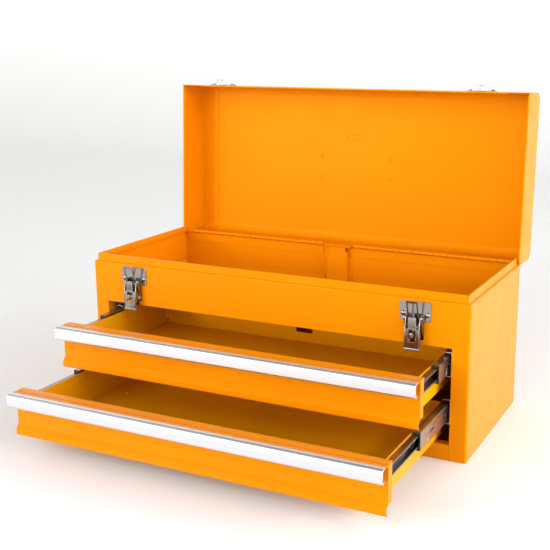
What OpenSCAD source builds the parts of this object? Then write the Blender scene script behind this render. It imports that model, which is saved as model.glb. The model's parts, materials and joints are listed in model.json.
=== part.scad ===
// Portable steel tool box: an open-topped cabinet with two drawers on ball-bearing slides,
// a hinged lid with two draw latches and a carrying handle, and a bar in the back that locks
// the drawers when the lid comes down. X is the width, the front faces -Y, the box stands on
// Z = 0 and the origin is the middle of its footprint. The lid stands open and both drawers
// are pulled out, as far as lid_open, upper_out and lower_out say.

/* [Cabinet] */
// Outside width of the cabinet
body_w = 520; // [460:1:640]
// Outside depth of the cabinet, from front face to back face
body_d = 220; // [210:1:260]
// Height of the ledge that the lid comes down on
ledge_h = 190; // [180:1:230]
// Thickness of the steel sheet
sheet = 1; // [0.8:0.1:1.2]
// Height of the raised rim above the ledge
rim_h = 9.5; // [8.5:0.5:14]
// How far the rim stands in from the outside face
rim_inset = 4; // [3.5:0.1:6]
// Outside radius of the upright corners
corner_r = 3; // [2:0.5:5]
// Width of each front pillar beside the drawers
pillar_w = 20.7; // [18:0.1:30]
// Height of the front header above the drawers
header_h = 53.6; // [40:0.2:70]
// Height of the bottom rail under the drawers
rail_h = 19.5; // [14:0.5:26]
// Depth of the pillars' folded returns
return_d = 18; // [14:1:22]
// Height of the upturned edges of the base and the compartment floor
flange_h = 12; // [8:1:16]

/* [Lid] */
// Height of the lid above its lower edge
lid_h = 57; // [45:1:80]
// Gap between the ledge and the lid's lower edge when shut
lid_gap = 1.2; // [0.6:0.1:2]
// How far the lid's front stands forward of the cabinet's face
lid_overhang = 2; // [1:0.5:4]
// Outside radius of the lid's long edges
lid_r = 13; // [8:1:20]
// Height of the folded hems along free edges
hem_h = 7; // [5:0.5:8]
// Width of the end caps' welding flanges inside the lid
cap_flange = 28; // [8:1:32]
// How far the lid is open, in degrees
lid_open = 93; // [60:1:95]

/* [Hinge] */
// Radius of the hinge knuckles
knuckle_r = 2.3; // [2.3:0.1:2.6]
// Radius of the hinge pins
hinge_pin_r = 1.2; // [0.8:0.1:1.3]
// Height of the hinge axis above the ledge
axis_rise = 3; // [3:0.1:3.4]
// Height of each hinge leaf's plate
leaf_h = 13; // [10:1:16]
// Clear gap between the two hinge halves, for the lock bar
hinge_gap = 48; // [46:1:60]
// How far the hinge ends stop short of the cabinet's sides
hinge_end = 10; // [9:1:20]
// Number of knuckles in each half, an odd number
knuckles = 23; // [15:2:29]

/* [Drawers] */
// How far the upper drawer is pulled out
upper_out = 95.5; // [0:0.5:190]
// How far the lower drawer is pulled out
lower_out = 184.5; // [0:0.5:190]
// Gap between each drawer front and the pillar beside it
side_gap = 2.8; // [2:0.1:4]
// Gap between the two drawer fronts
front_gap = 2.5; // [2:0.5:5]
// Gap between the upper drawer front and the header
top_gap = 6.4; // [5:0.1:10]
// How far the lower front's bottom bead laps the rail
rail_lap = 2; // [1:0.5:3]
// Depth of the drawer fronts' side returns
front_return = 10; // [6:1:10]
// How far the pull stands forward of the panel
pull_reach = 16.5; // [14:0.5:20]
// Height of the pull's face
pull_h = 16; // [12:0.5:18]
// Room between a shut drawer's back and the cabinet's back face
back_room = 17; // [17:1:24]

/* [Slides] */
// Space taken by a slide between drawer and post
slide_t = 12.7; // [12.7:0.1:13.5]
// Height of the cabinet members of the slides
slide_h = 30; // [30:0.5:36]
// Thickness of the slide steel
slide_sheet = 1.1; // [0.9:0.1:1.2]
// Share of the upper drawer's travel that its middle members make
upper_share = 0.4; // [0.4:0.01:0.6]
// Share of the lower drawer's travel that its middle members make
lower_share = 0.52; // [0.4:0.01:0.6]
// Length of each ball cage
cage_l = 60; // [50:1:60]
// Number of balls in each row of a cage
balls = 4; // [2:1:6]

/* [Latches] */
// Distance of each latch from the middle of the box
latch_x = 195; // [120:1:205]
// Width across the latch's riveted wings
wing_w = 38; // [34:1:46]
// Width of the latch lever
lever_w = 18.4; // [17:0.2:20]
// Length of the latch lever below its pivot
lever_l = 37; // [36:0.5:40]
// Thickness of the latch steel
latch_t = 1.2; // [1:0.1:1.4]
// Radius of the lever's pivot rivets
pivot_r = 1.5; // [1.2:0.1:1.7]
// Distance from the lever's pivot to the link's pin
link_throw = 8; // [7.6:0.1:8.2]

/* [Handle] */
// Distance of each handle bracket from the middle
bracket_x = 53.4; // [48:0.2:70]
// Width of a handle bracket
bracket_w = 15; // [12:1:18]
// Spacing of the two rivets in each bracket
bracket_pitch = 29; // [26:1:36]
// Radius of the handle's rod
rod_r = 3; // [2.5:0.1:3.5]
// Distance from the handle's pivot to its grip
handle_reach = 42.5; // [36:0.5:60]
// Radius of the grip
grip_r = 6.5; // [5.5:0.1:7]
// Length of the grip
grip_l = 96; // [70:1:104]

/* [Lock] */
// Width of the channel that guides the lock bar
channel_w = 27; // [25:1:29]
// Depth of that channel in front of the back wall
channel_d = 8; // [8:0.5:9]
// How far the lock bar drops as the lid shuts
lock_drop = 6; // [4:0.5:6]
// Width of each lock hook
hook_w = 14; // [10:1:18]

/* [Hidden] */
$fn = 48;

// Finishes, as they look on the real box
PAINT = "#F79A12";
PAINT_SIDE = "#F2A52C";
STEEL = "#BFC3C6";
BRIGHT = "#D7D9DB";
ALLOY = "#E4E5E6";
BLACK = "#26262A";

// Clearances that pieces share
seam = 0.15;       // between sheets that meet edge to edge
lay = 0.05;        // between sheets that lie on each other
free = 0.3;        // between pieces that pass each other
run = 0.05;        // radial play of a pin in its bore
over = 1;          // how far a cutting shape runs past what it cuts

// Cabinet faces
front_y = -body_d / 2;
back_y = body_d / 2;
side_x = body_w / 2;
rim_top = ledge_h + rim_h;
header_z = ledge_h - header_h;
open_x = side_x - pillar_w;
edge_r = 1.8;
foot_r = rim_inset - edge_r - 1;
rim_end_y = back_y - 3;
seam_y = front_y + corner_r;
rim_seam_y = front_y + rim_inset + corner_r;
flange_d = 15;
tray_z = header_z + sheet + 0.1;

// Hinge and lid
hinge_y = back_y - sheet - knuckle_r;
hinge_z = ledge_h + axis_rise;
hinge_bore_r = hinge_pin_r + run;
plate_gap = knuckle_r + 0.7;
back_top_z = hinge_z - plate_gap - 0.2;
lid_z = ledge_h + lid_gap;
lid_top_z = lid_z + lid_h;
lid_front_y = front_y - lid_overhang;
lid_back_z = hinge_z + 2 * knuckle_r - 0.6;
lid_d = back_y - lid_front_y;
hinge_out_x = side_x - hinge_end;
hinge_in_x = hinge_gap / 2;
pad_l = 31;
pad_w = 10;
pad_h = 1;

// Drawers, in the shut place
front_h = (header_z - rail_h + rail_lap - front_gap - top_gap) / 2;
lower_z = rail_h - rail_lap;
upper_z = lower_z + front_h + front_gap;
front_x = open_x - side_gap;
post_x = open_x - 3.1;
box_x = post_x - slide_t;
box_floor = 5;
box_top = front_h - 8.5;
box_front_y = front_y + sheet + front_return + 1;
box_back_y = back_y - back_room;
slide_rise = front_h - 17;
bead_out = 4.5;
bead_h = 8.5;
lip_drop = 0.7;                                // thickness of the pull's wing over the lip
lip_in = 2.6 - pull_reach;                     // inside of the folded lip, forward of the panel
lip_bend = 2.5;
lip_centre = [lip_in + lip_bend, front_h - lip_drop - sheet - lip_bend];
drawer_rivet_r = 2.1;

// Slides, in the shut place; depths are counted from the post towards the drawer
slide_front_y = front_y + sheet + front_return + 0.4;
slide_back_y = back_y - 15;
outer_half = slide_h / 2;
mid_web = slide_sheet + 1.5;
ball_r = 1.5;
mid_half = outer_half - slide_sheet - 2 * ball_r - 0.2;
inner_ball_r = 1.1;
inner_half = mid_half - slide_sheet - 2 * inner_ball_r - 0.2;
inner_web = slide_t - slide_sheet;
outer_tip = slide_t - 2.6;
mid_tip = slide_t - 2.4;
inner_tip = mid_web + slide_sheet + 1.2;
bumper_l = 8;
mid_front_y = slide_front_y + 1.4;
mid_back_y = slide_back_y - 5;
inner_front_y = slide_front_y + 0.6;
inner_back_y = box_back_y - 2;
outer_cage_y = (slide_front_y + mid_back_y) / 2;
inner_cage_y = (mid_front_y + bumper_l + inner_back_y) / 2;
front_post_y = front_y + return_d + 6;
rear_post_y = back_y - 38;
post_w = 24;
post_rivet_y = [front_post_y + 3, rear_post_y];
drawer_rivet_y = [inner_front_y + 18, 0, inner_back_y - 16];
slide_rivet_r = 2.1;
mid_lip = 0.8;
outer_lip = 1.6;
bumper_tip = mid_tip - 1.1;

// Latch, in depths forward of the cabinet's face
pivot_f = 6;
pivot_z = ledge_h - 21.5;
lever_f = pivot_f + 5;                         // inside of the lever's face
tongue_top = pivot_z + 2;
tongue_w = 9.8;
face_top = pivot_z - link_throw - 3.3;
wing_top_z = ledge_h - 3;
wing_low_z = ledge_h - 26;
wing_rivet_x = wing_w / 2 - 4;
wing_rivet_z = ledge_h - 18;
ear_gap = 0.4;
ear_x = lever_w / 2 + ear_gap;
latch_rivet_r = 2.1;
link_f = pivot_f - 0.6;                        // just past centre, so a latched lever stays down
link_z = pivot_z - link_throw;
link_pin_r = 1.25;
link_w = 14;
link_l = 31.5;                                 // from the pin to the link's far edge
link_lean = 16;                                // how far it leans out while the latch is open
link_bar = 3;
window_low = 3.5;
window_w = tongue_w + 0.6;
staple_low = pivot_z - 22.5;
staple_top = pivot_z - 14.5;
staple_f = 16;
slot_low_z = pivot_z - 26.5;
slot_top_z = pivot_z - 12.5;
slot_half = 4;
neck_z = link_z + link_l - link_bar - 0.2;     // the latched link's bar bears down on this
keeper_z = lid_z + 8.3;
keeper_h = 13;
keeper_rivet_x = wing_rivet_x;

// Handle, in heights above the lid's top
rod_z = 8;
elbow_r = 4;
arm_x = bracket_x + bracket_w / 2 + 0.6 + elbow_r;
bend_r = 8;
handle_rest = lid_open - 90;                   // hangs straight down when the lid leans back

// Lock bar
bar_y = back_y - sheet - channel_d + 0.3;
bar_t = 1.5;
bar_x = channel_w / 2 - 0.6;
prong_in = channel_w / 2 - 0.3;
prong_out = prong_in + 6.3;
head_z = hinge_z - 0.35;
head_front_y = hinge_y - 8;
hook_arm = 26;
hook_low = 20;
slot_low = 19;
slot_top = 30;
slot_x = hook_w / 2 + 5;

// ---- Helpers -------------------------------------------------------------------------

// Points along an arc, from angle a to angle b in n steps
function arc(c, r, a, b, n = 5) =
    [for (i = [0:n]) c + r * [cos(a + (b - a) * i / n), sin(a + (b - a) * i / n)]];

function unit(v) = v / norm(v);

// Normal of the path's segment that ends at point i
function normal(path, i) =
    let (d = unit(path[i] - path[i - 1])) [-d[1], d[0]];

// The path moved d to its left, with mitred corners
function beside(path, d) =
    let (n = len(path) - 1)
    [for (i = [0:n])
        let (a = normal(path, max(i, 1)), b = normal(path, min(i + 1, n)))
        path[i] + d * (a + b) / (1 + a * b)];

function reversed(list) = [for (i = [len(list) - 1:-1:0]) list[i]];

// Outline of a sheet folded along a path, t thick to the path's left
function folded(path, t) = concat(path, reversed(beside(path, t)));

// A profile drawn in Y and Z, extruded along X
module along_x(x0, x1) {
    translate([x0, 0, 0]) rotate([90, 0, 90]) linear_extrude(x1 - x0) children();
}

// A profile drawn in X and Z, extruded along Y
module along_y(y0, y1) {
    translate([0, y1, 0]) rotate([90, 0, 0]) linear_extrude(y1 - y0) children();
}

module block(lo, hi) {
    translate(lo) cube(hi - lo);
}

module rod_x(x0, x1, y, z, r) {
    translate([x0, y, z]) rotate([0, 90, 0]) cylinder(h = x1 - x0, r = r);
}

module rod_y(y0, y1, x, z, r) {
    translate([x, y1, z]) rotate([90, 0, 0]) cylinder(h = y1 - y0, r = r);
}

module both_sides() {
    children();
    mirror([1, 0, 0]) children();
}

// A rectangle with round corners, exact in its arcs
module round_rect(lo, hi, r) {
    for (p = [[r, 0], [0, r]]) translate(lo + p) square(hi - lo - 2 * p);
    for (x = [lo[0] + r, hi[0] - r], y = [lo[1] + r, hi[1] - r]) translate([x, y]) circle(r);
}

// A domed rivet through a sheet, its head rising along +Z from z = 0
module rivet(head_r, head_h, shank_r, depth) {
    ball = (head_r * head_r + head_h * head_h) / (2 * head_h);
    intersection() {
        translate([0, 0, head_h - ball]) sphere(ball);
        cylinder(h = head_h, r = head_r);
    }
    translate([0, 0, -depth]) cylinder(h = depth + 0.01, r = shank_r);
}

// ---- Cabinet -------------------------------------------------------------------------

// The wall's line from the floor to the rim: distance in from the outside face, and height.
// t moves it inwards by a sheet; the inner line also leaves room for the rim's hem.
function wall_line(t) = concat(
    [[t, t > 0 ? -over : 0]],
    arc([edge_r, ledge_h - edge_r], edge_r - t, 180, 90, 4),
    arc([rim_inset - foot_r, ledge_h + foot_r], foot_r + t, 270, 360, 4),
    t > 0
        ? [[rim_inset + t, rim_top - hem_h], [rim_inset + 2 * t, rim_top - hem_h + t],
           [rim_inset + 2 * t, rim_top + over]]
        : [[rim_inset, rim_top]]);

// The space inside the wall's line, straight at the back
module wall_space(t) {
    line = wall_line(t);
    top = line[len(line) - 1][1];
    low = line[0][1];
    intersection() {
        along_y(front_y - over, back_y + over)
            polygon(concat([for (p = line) [side_x - p[0], p[1]]],
                           reversed([for (p = line) [p[0] - side_x, p[1]]])));
        along_x(-side_x - over, side_x + over)
            polygon(concat([for (p = line) [front_y + p[0], p[1]]],
                           [[back_y - t, top], [back_y - t, low]]));
        translate([0, 0, low]) linear_extrude(top - low)
            round_rect([t - side_x, front_y + t], [side_x - t, back_y - t], corner_r - t);
    }
}

module wall_ring() {
    difference() {
        wall_space(0);
        wall_space(sheet);
    }
}

// Everything that belongs to the front frame; grow opens the seam
module front_zone(grow) {
    block([-side_x - over, front_y - over, -over], [side_x + over, seam_y + grow, rim_top + over]);
    block([rim_inset - side_x, front_y, ledge_h - sheet - grow],
          [side_x - rim_inset, rim_seam_y + grow, rim_top + over]);
}

// One folded sheet makes both sides and the back, with the raised rim along the sides
module cabinet_shell() {
    color(PAINT_SIDE) difference() {
        wall_ring();
        front_zone(seam);
        block([-side_x - over, rim_end_y, back_top_z], [side_x + over, back_y + over, rim_top + over]);
        block([-side_x + rim_inset + 2, hinge_y, back_top_z],
              [side_x - rim_inset - 2, back_y + over, rim_top + over]);
    }
}

// Header and pillars in one pressing, with folded returns round the drawer opening and
// flanges that tuck behind the sides
module front_frame() {
    color(PAINT) {
        difference() {
            intersection() {
                wall_ring();
                front_zone(0);
            }
            block([-open_x, front_y - over, -over], [open_x, seam_y + over, header_z]);
        }
        block([-open_x - sheet, front_y + sheet / 2, header_z],
              [open_x + sheet, front_y + return_d - 6, header_z + sheet]);
        both_sides() {
            block([open_x, front_y + sheet / 2, sheet + lay],
                  [open_x + sheet, front_y + return_d, header_z + sheet]);
            block([side_x - 2 * sheet - lay, front_y + sheet / 2, sheet + lay],
                  [side_x - sheet - lay, front_y + sheet + flange_d, ledge_h - edge_r - 2 * sheet]);
        }
    }
}

// The bottom: a plate with upturned edges, whose front edge folds up into the rail
module base_pan() {
    pan_x = side_x - sheet - 0.3;
    pan_y = back_y - sheet - 0.3;
    rail_x = open_x - seam;
    rail_r = 1.8;
    rail_path = concat(
        [[pan_y - 1, 0]],
        arc([front_y + rail_r, rail_r], rail_r, 270, 180, 4),
        arc([front_y + rail_r, rail_h - rail_r], rail_r, 180, 90, 4),
        [[front_y + return_d - 6, rail_h]]);
    color(PAINT) {
        along_x(-rail_x, rail_x) polygon(folded(rail_path, -sheet));
        intersection() {
            union() {
                block([-pan_x, front_y, 0], [pan_x, pan_y, sheet]);
                both_sides()
                    block([pan_x - sheet, front_y + 2 * sheet + flange_d, 0], [pan_x, pan_y, flange_h]);
                block([-pan_x, pan_y - sheet, 0], [pan_x, pan_y, flange_h]);
            }
            linear_extrude(flange_h)
                round_rect([-pan_x, front_y + sheet + lay], [pan_x, pan_y], corner_r);
        }
    }
}

// The floor of the open top: a shallow tray that sits on the header's return and the posts
module compartment_floor() {
    tray_x = side_x - 2 * sheet - 0.3;
    tray_front = front_y + sheet + 0.3;
    tray_back = back_y - sheet - 0.3;
    color(PAINT) difference() {
        union() {
            block([-tray_x, tray_front, tray_z], [tray_x, tray_back, tray_z + sheet]);
            both_sides()
                block([tray_x - sheet, tray_front, tray_z], [tray_x, tray_back, tray_z + flange_h]);
            block([-tray_x, tray_back - sheet, tray_z], [tray_x, tray_back, tray_z + flange_h]);
            block([-tray_x, tray_front, tray_z], [tray_x, tray_front + sheet, tray_z + flange_h]);
        }
        block([-channel_w / 2 - 8, back_y - sheet - channel_d - 0.3 - sheet, tray_z - over],
              [channel_w / 2 + 8, back_y, tray_z + flange_h + over]);
    }
}

// Z-shaped strips that carry the slides' front ends off the pillar returns
module front_slide_posts() {
    x0 = open_x - lay;
    x1 = post_x + slide_sheet;
    y1 = front_post_y - 5;
    path = [[x0, slide_front_y + 0.6], [x0, y1], [x1, y1 + 2.6], [x1, front_post_y + post_w / 2 + 2]];
    color(STEEL) both_sides() difference() {
        translate([0, 0, sheet + lay]) linear_extrude(header_z - sheet - 2 * lay)
            polygon(folded(path, slide_sheet));
        post_rivet_holes(post_rivet_y[0]);
    }
}

// Hat-shaped posts off the side walls that carry the slides' rear ends
module rear_slide_posts() {
    x0 = side_x - sheet - lay - slide_sheet;
    y0 = rear_post_y - post_w / 2;
    y1 = rear_post_y + post_w / 2;
    path = [[x0, y0 - 8], [x0, y0], [post_x, y0], [post_x, y1], [x0, y1], [x0, y1 + 8]];
    color(STEEL) both_sides() difference() {
        translate([0, 0, flange_h + lay]) linear_extrude(tray_z - flange_h - 2 * lay)
            polygon(folded(path, -slide_sheet));
        post_rivet_holes(post_rivet_y[1]);
    }
}

module post_rivet_holes(y) {
    for (z = [lower_z, upper_z])
        rod_x(post_x - over, post_x + slide_sheet + over, y, z + slide_rise, slide_rivet_r);
}

// ---- Slides --------------------------------------------------------------------------
// Each profile is drawn in X and Z on the right-hand side, with the slide's centre line at
// z = 0 and the post's face at x = post_x. Depth d runs from the post towards the drawer.

function at(d, z) = [post_x - d, z];

// A C-shaped member: web between depths w and w + slide_sheet, flanges to depth tip, with
// short lips that keep the balls in.
module channel_profile(w, half, tip, lip) {
    t = slide_sheet;
    for (s = [-1, 1]) {
        polygon([at(w, 0), at(w, s * half), at(w + t, s * half), at(w + t, 0)]);
        polygon([at(w, s * half), at(tip, s * half), at(tip, s * (half - t)), at(w, s * (half - t))]);
        polygon([at(tip - t * 0.9, s * (half - t)), at(tip, s * half), at(tip, s * (half - t - lip)),
                 at(tip - t * 0.9, s * (half - t - lip))]);
    }
}

// The drawer's own member opens the other way, so its lips face the post
module inner_profile() {
    t = slide_sheet;
    for (s = [-1, 1]) {
        polygon([at(inner_web, 0), at(inner_web, s * inner_half),
                 at(slide_t, s * inner_half), at(slide_t, 0)]);
        polygon([at(slide_t, s * inner_half), at(inner_tip, s * inner_half),
                 at(inner_tip, s * (inner_half - t)), at(slide_t, s * (inner_half - t))]);
        polygon([at(inner_tip, s * inner_half), at(inner_tip + t, s * inner_half),
                 at(inner_tip + t, s * (inner_half - t - 0.9)), at(inner_tip, s * (inner_half - t - 0.9))]);
    }
}

// Fixed members, riveted to the posts
module outer_slides(z) {
    color(STEEL) both_sides() difference() {
        translate([0, 0, z + slide_rise]) along_y(slide_front_y, slide_back_y)
            channel_profile(0, outer_half, outer_tip, outer_lip);
        for (y = post_rivet_y)
            rod_x(post_x - slide_sheet - over, post_x + over, y, z + slide_rise, slide_rivet_r);
        for (y = [-30, 10])
            rod_x(post_x - slide_sheet - over, post_x + over, y, z + slide_rise, 3);
    }
}

// Sliding middle members, with a keyhole and lightening holes in the web
module mid_slides(z) {
    hole_z = z + slide_rise;
    color(STEEL) both_sides() difference() {
        translate([0, 0, hole_z]) along_y(mid_front_y, mid_back_y)
            channel_profile(mid_web, mid_half, mid_tip, mid_lip);
        for (y = [mid_front_y + 34, mid_front_y + 130])
            rod_x(post_x - mid_web - slide_sheet - over, post_x, y, hole_z, 2.6);
        block([post_x - mid_web - slide_sheet - over, mid_front_y + 34, hole_z - 1.4],
              [post_x, mid_front_y + 44, hole_z + 1.4]);
        rod_x(post_x - mid_web - slide_sheet - over, post_x, mid_front_y + 82, hole_z, 3.2);
    }
}

// Members on the drawer's sides
module inner_slides(z) {
    color(BRIGHT) both_sides() difference() {
        translate([0, 0, z + slide_rise]) along_y(inner_front_y, inner_back_y) inner_profile();
        for (y = drawer_rivet_y)
            rod_x(box_x - over, box_x + slide_sheet + over, y, z + slide_rise, drawer_rivet_r);
    }
}

// A C-shaped strip with a row of balls in each flange
module ball_cage(w, half, tip, t, r, y_mid, z) {
    step = cage_l / balls;
    both_sides() translate([0, y_mid, z + slide_rise]) {
        along_y(-cage_l / 2, cage_l / 2) for (s = [-1, 1]) {
            polygon([at(w, 0), at(w, s * (half + t / 2)), at(w + t, s * (half + t / 2)), at(w + t, 0)]);
            polygon([at(w, s * (half + t / 2)), at(tip, s * (half + t / 2)),
                     at(tip, s * (half - t / 2)), at(w, s * (half - t / 2))]);
        }
        for (i = [0:balls - 1], s = [-1, 1])
            translate([post_x - (w + t + tip) / 2, (i + 0.5) * step - cage_l / 2, s * half]) sphere(r);
    }
}

module outer_cages(z) {
    color(BRIGHT)
        ball_cage(slide_sheet + 0.4, outer_half - slide_sheet - ball_r - 0.1, outer_tip - 2.2, 0.7,
                  ball_r, outer_cage_y, z);
}

module inner_cages(z) {
    color(BRIGHT)
        ball_cage(mid_web + slide_sheet + 0.3, mid_half - slide_sheet - inner_ball_r - 0.1,
                  mid_tip - 1.4, 0.6, inner_ball_r, inner_cage_y, z);
}

// Black moulded ends on the middle members
module slide_bumpers(z) {
    w = mid_web + slide_sheet + lay;
    top = mid_half - slide_sheet - lay;
    low = inner_half + 0.35;
    color(BLACK) both_sides() translate([0, 0, z + slide_rise]) {
        along_y(mid_front_y - 1.2, mid_front_y + bumper_l) for (s = [-1, 1]) {
            polygon([at(w, 0), at(w, s * top), at(w + 0.8, s * top), at(w + 0.8, 0)]);
            polygon([at(w, s * top), at(bumper_tip, s * top), at(bumper_tip, s * low), at(w, s * low)]);
        }
        along_y(mid_front_y - 1.2, mid_front_y - lay) for (s = [-1, 1]) {
            polygon([at(mid_web, 0), at(mid_web, s * mid_half), at(w + 0.8, s * mid_half), at(w + 0.8, 0)]);
            polygon([at(mid_web, s * mid_half), at(mid_tip, s * mid_half), at(mid_tip, s * low),
                     at(mid_web, s * low)]);
        }
    }
}

// Black levers in the drawer members, pressed to take the drawer off its slides
module release_levers(z) {
    path = concat([[-48, -3.6]], arc([-38, -9], 8, 130, 50, 6), arc([-18, -1], 8, 230, 290, 6),
                  [[-2, -1.2]]);
    color(BLACK) both_sides()
        translate([post_x - slide_t + slide_sheet + 0.05, 0, z + slide_rise])
            along_x(0, 3.2) polygon(folded([for (p = path) [p[0], p[1] + 4]], 1.8));
}

// Rivets that hold the fixed members to the posts, flush inside the slide
module slide_post_rivets() {
    back = post_x + slide_sheet + lay;
    color(BRIGHT) both_sides() for (z = [lower_z, upper_z], y = post_rivet_y) {
        rod_x(post_x - slide_sheet, back + 0.01, y, z + slide_rise, slide_rivet_r - run);
        rod_x(back, back + 1, y, z + slide_rise, slide_rivet_r + 1.2);
    }
}

// ---- Drawers, drawn shut -------------------------------------------------------------

// The tray's cross-section, drawn in by a wall or a gap and cut off level at the top
module tray_section(z, inset, top) {
    r = 2.4;
    low = z + box_floor;
    polygon(concat(
        [[inset - box_x, top]], arc([r - box_x, low + r], r - inset, 180, 270, 4),
        arc([box_x - r, low + r], r - inset, 270, 360, 4), [[box_x - inset, top]]));
}

// Tray: floor, sides and back folded from one sheet, with the slot for the lock hook.
// Small holes in the floor and the back drain the wash before coating.
module drawer_box(z) {
    low = z + box_floor;
    color(PAINT) difference() {
        along_y(box_front_y, box_back_y) tray_section(z, 0, z + box_top);
        along_y(box_front_y - over, box_back_y - sheet) tray_section(z, sheet, z + box_top + over);
        block([-slot_x, box_back_y - sheet - over, z + slot_low], [slot_x, box_back_y + over, z + slot_top]);
        for (s = [-1, 1], y = drawer_rivet_y)
            rod_x(s * box_x - 2 * sheet, s * box_x + 2 * sheet, y, z + slide_rise, drawer_rivet_r);
        both_sides() {
            translate([box_x - 30, box_back_y - 49, low - over]) cylinder(h = sheet + 2 * over, r = 1.7);
            rod_y(box_back_y - sheet - over, box_back_y + over, box_x - 4, low + 4, 1.6);
        }
    }
}

// The inner front, welded into the tray's mouth: its top folds forward over the tray's sides
// and carries the front pressing
module drawer_inner_front(z) {
    top = z + box_top;
    fold_z = z + front_h - lip_drop;
    color(PAINT) {
        along_y(box_front_y, box_front_y + sheet) tray_section(z, sheet + lay, top + 1);
        along_x(-box_x, box_x) polygon(folded(concat(
            [[box_front_y + sheet, top + lay]],
            arc([box_front_y + sheet - 1.5, fold_z - 1.5], 1.5, 0, 90, 4),
            [[front_y + sheet + lay, fold_z]]), sheet));
        both_sides() block([box_x - 1, front_y + sheet + lay, fold_z - sheet],
                           [front_x, box_front_y - 0.5, fold_z]);
    }
}

// The front pressing: bead along the bottom, flat panel, top folded forward and down
module drawer_front(z) {
    path = concat(
        [[-0.8, 0]],
        arc([-bead_out + 2, 2], 2, 270, 180, 4),
        arc([-bead_out + 1.5, bead_h - 1], 1.5, 180, 135, 3),
        arc([-1.2, bead_h + bead_out + 0.6], 1.2, -45, 0, 3),
        arc([-1.5, front_h - lip_drop - sheet - 1.5], 1.5, 0, 90, 4),
        arc(lip_centre, lip_bend, 90, 180, 5),
        [[lip_in, front_h - 11]]);
    color(PAINT) {
        translate([0, front_y, z]) along_x(-front_x, front_x) polygon(folded(path, -sheet));
        both_sides() block([front_x - sheet, front_y + sheet / 2, z + bead_h + 2],
                           [front_x, front_y + front_return, z + front_h - lip_drop - sheet]);
    }
}

// The aluminium pull: a wing over the folded lip, a rounded face and a finger roll below
module drawer_pull(z) {
    wall = pull_reach + lip_in - sheet - lay;
    r = 5;
    low = front_h - pull_h;
    face = concat(
        [[8.5 - pull_reach, front_h]],
        arc([r - pull_reach, front_h - r], r, 90, 180, 8),
        arc([2.2 - pull_reach, low + 2.2], 2.2, 180, 270, 6));
    inside = concat(
        [[wall - pull_reach + 0.8, low + wall], [wall - pull_reach, low + wall + 0.8]],
        arc(lip_centre, lip_bend + sheet + lay, 180, 90, 6),
        [[8.5 - pull_reach, front_h - lip_drop + lay]]);
    color(ALLOY) translate([0, front_y, z]) along_x(-front_x, front_x)
        polygon(concat(face, [[lip_in + 1.6, low], [lip_in + 3, low + 1.2], [lip_in + 3, low + 3.6],
                              [lip_in + 1.9, low + 3.6], [lip_in + 1.9, low + wall]], inside));
}

// Rivets from inside the drawer into its slide members
module drawer_rivets(z) {
    color(PAINT) both_sides() for (y = drawer_rivet_y)
        translate([box_x - sheet - lay, y, z + slide_rise]) rotate([0, -90, 0])
            rivet(3.2, 1, drawer_rivet_r - run, sheet + slide_sheet);
}

// ---- Hinge ---------------------------------------------------------------------------

seg = (hinge_out_x - hinge_in_x) / knuckles;

// One leaf of the right half, drawn shut: up = 1 for the lid's, up = -1 for the body's
module leaf(up, first) {
    y0 = back_y - 2 * sheet;
    difference() {
        union() {
            block([hinge_in_x, y0, hinge_z + (up > 0 ? plate_gap : -plate_gap - leaf_h)],
                  [hinge_out_x, y0 + sheet - lay, hinge_z + (up > 0 ? plate_gap + leaf_h : -plate_gap)]);
            for (i = [first:2:knuckles - 1]) {
                x0 = hinge_in_x + i * seg + free;
                x1 = hinge_in_x + (i + 1) * seg - free;
                rod_x(x0, x1, hinge_y, hinge_z, knuckle_r - lay);
                block([x0, y0, hinge_z + (up > 0 ? 0 : -plate_gap - 1)],
                      [x1, y0 + sheet - lay, hinge_z + (up > 0 ? plate_gap + 1 : 0)]);
            }
        }
        rod_x(hinge_in_x - over, hinge_out_x + over, hinge_y, hinge_z, hinge_bore_r);
    }
}

module hinge_body_leaves() {
    color(PAINT) both_sides() leaf(-1, 0);
}

module hinge_lid_leaves() {
    color(PAINT) on_lid() both_sides() leaf(1, 1);
}

module hinge_pins() {
    color(BRIGHT) both_sides()
        rod_x(hinge_in_x + 0.2, hinge_out_x - 0.2, hinge_y, hinge_z, hinge_pin_r);
}

// ---- Lid, drawn shut and then swung open ---------------------------------------------

module on_lid() {
    translate([0, hinge_y, hinge_z]) rotate([-lid_open, 0, 0])
        translate([0, -hinge_y, -hinge_z]) children();
}

// Section of the lid in Y and Z, moved in by t
module lid_section(t) {
    difference() {
        round_rect([lid_front_y + t, lid_z - 2 * lid_r], [back_y - t, lid_top_z - t], lid_r - t);
        translate([lid_front_y - over, lid_z - 3 * lid_r]) square([lid_d + 2 * over, 3 * lid_r]);
    }
}

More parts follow.
